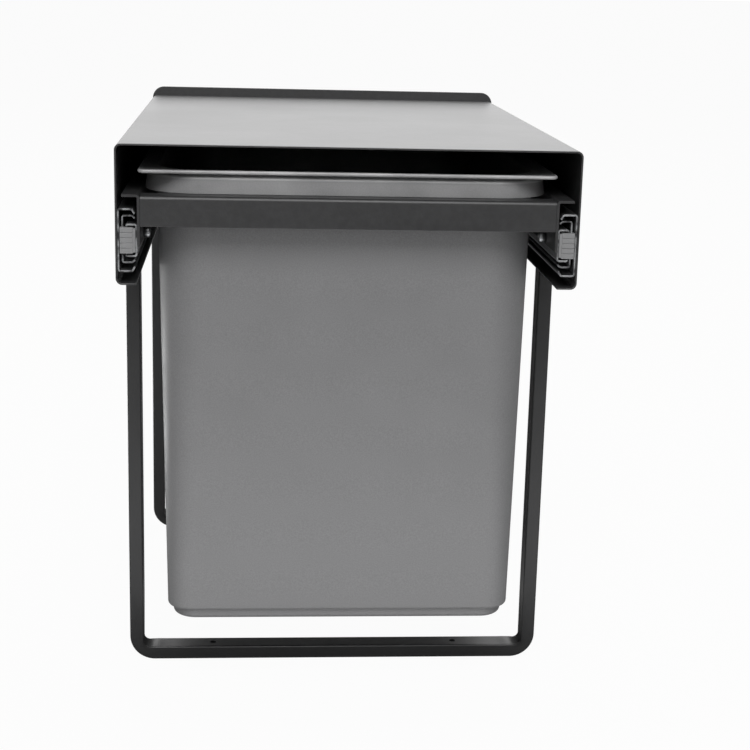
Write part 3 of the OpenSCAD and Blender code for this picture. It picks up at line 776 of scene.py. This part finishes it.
# Name, place, aim, width, height and watts of each lamp; the two bounces lie on the floor and shine up
SOFTBOXES = (
    ("key_softbox", (-0.2, -3.3, 3.6), (0, -0.25, 0.25), 2.6, 2.2, 138.0),
    ("front_fill", (0.0, -3.0, 1.5), (0, -0.25, 0.35), 2.6, 1.5, 9.0),
    ("back_softbox", (0.4, 2.3, 3.8), (0, 0.2, 0.25), 2.4, 1.8, 70.0),
    ("table_bounce", (0.0, -0.5, 0.002), (0, -0.5, 1.0), 0.9, 0.4, 1.6),
    ("rear_left_bounce", (-0.8, 0.7, 0.002), (-0.8, 0.7, 1.0), 0.7, 0.9, 12.0),
)


def floor_gleam(t):
    """How brightly the floor mirrors at a place, by its distance in front of the object."""
    place = t.add("ShaderNodeSeparateXYZ")
    t.feed(t.add("ShaderNodeTexCoord").outputs["Object"], place.inputs[0])
    gleam = t.add("ShaderNodeValToRGB")
    first, last = FLOOR_GLEAM[0][0], FLOOR_GLEAM[-1][0]
    t.feed(t.span(place.outputs["Y"], first, last, 0.0, 1.0), gleam.inputs["Fac"])
    stops = gleam.color_ramp.elements
    while len(stops) < len(FLOOR_GLEAM):
        stops.new(1.0)
    for stop, (y, level) in zip(stops, FLOOR_GLEAM):
        stop.position, stop.color = (y - first) / (last - first), (level, level, level, 1)
    return gleam.outputs["Color"]


def make_floor():
    """Pale floor: nearly white to the camera with the object's shadow, and dimmer in reflections."""
    material = bpy.data.materials.new("pale_floor")
    material.use_nodes = True
    t = Tree(material.node_tree)
    t.nodes.clear()
    out = t.add("ShaderNodeOutputMaterial")
    plain = t.add("ShaderNodeBsdfDiffuse")
    plain.inputs["Color"].default_value = (FLOOR_TONE, FLOOR_TONE, FLOOR_TONE, 1)
    glow = t.add("ShaderNodeEmission")
    glow.inputs["Color"].default_value = (1, 1, 1, 1)
    blend = t.add("ShaderNodeMixShader")
    path = t.add("ShaderNodeLightPath")
    seen = t.math("MULTIPLY", path.outputs["Is Camera Ray"], FLOOR_WHITE)
    t.feed(t.math("MAXIMUM", seen, path.outputs["Is Glossy Ray"]), blend.inputs[0])
    level = t.span(path.outputs["Is Camera Ray"], 0.0, 1.0, floor_gleam(t), 1.0)
    t.feed(level, glow.inputs["Strength"])
    t.links.new(plain.outputs[0], blend.inputs[1])
    t.links.new(glow.outputs[0], blend.inputs[2])
    t.links.new(blend.outputs[0], out.inputs["Surface"])
    bm = bmesh.new()
    bmesh.ops.create_grid(bm, x_segments=1, y_segments=1, size=FLOOR_HALF)
    floor = to_object(bm, "studio_floor", material)
    floor.location.z = -FLOOR_DROP


def make_world():
    """White sky to the camera, a weak fill on the object, and its own level in reflections."""
    world = bpy.data.worlds.new("white_studio")
    scene.world = world
    world.use_nodes = True
    t = Tree(world.node_tree)
    sky = t.nodes["Background"]
    sky.inputs["Color"].default_value = (1, 1, 1, 1)
    path = t.add("ShaderNodeLightPath")
    toward = t.add("ShaderNodeSeparateXYZ")
    t.feed(t.add("ShaderNodeTexCoord").outputs["Generated"], toward.inputs[0])
    mirrored = t.span(toward.outputs["Y"], *REAR_RISE, 1.0, REAR_GLEAM)
    unseen = t.span(path.outputs["Is Glossy Ray"], 0.0, 1.0, SKY_FILL, mirrored)
    t.feed(t.span(path.outputs["Is Camera Ray"], 0.0, 1.0, unseen, 1.0), sky.inputs["Strength"])


def add_softbox(name, place, aim, width, height, watts):
    data = bpy.data.lights.new(name, "AREA")
    data.shape, data.size, data.size_y, data.energy = "RECTANGLE", width, height, watts
    lamp = bpy.data.objects.new(name, data)
    lamp.location = place
    lamp.rotation_euler = (Vector(aim) - Vector(place)).to_track_quat("-Z", "Y").to_euler()
    lamp.visible_camera = False
    scene.collection.objects.link(lamp)


make_floor()
make_world()
for softbox in SOFTBOXES:
    add_softbox(*softbox)

scene.view_settings.view_transform = "Standard"
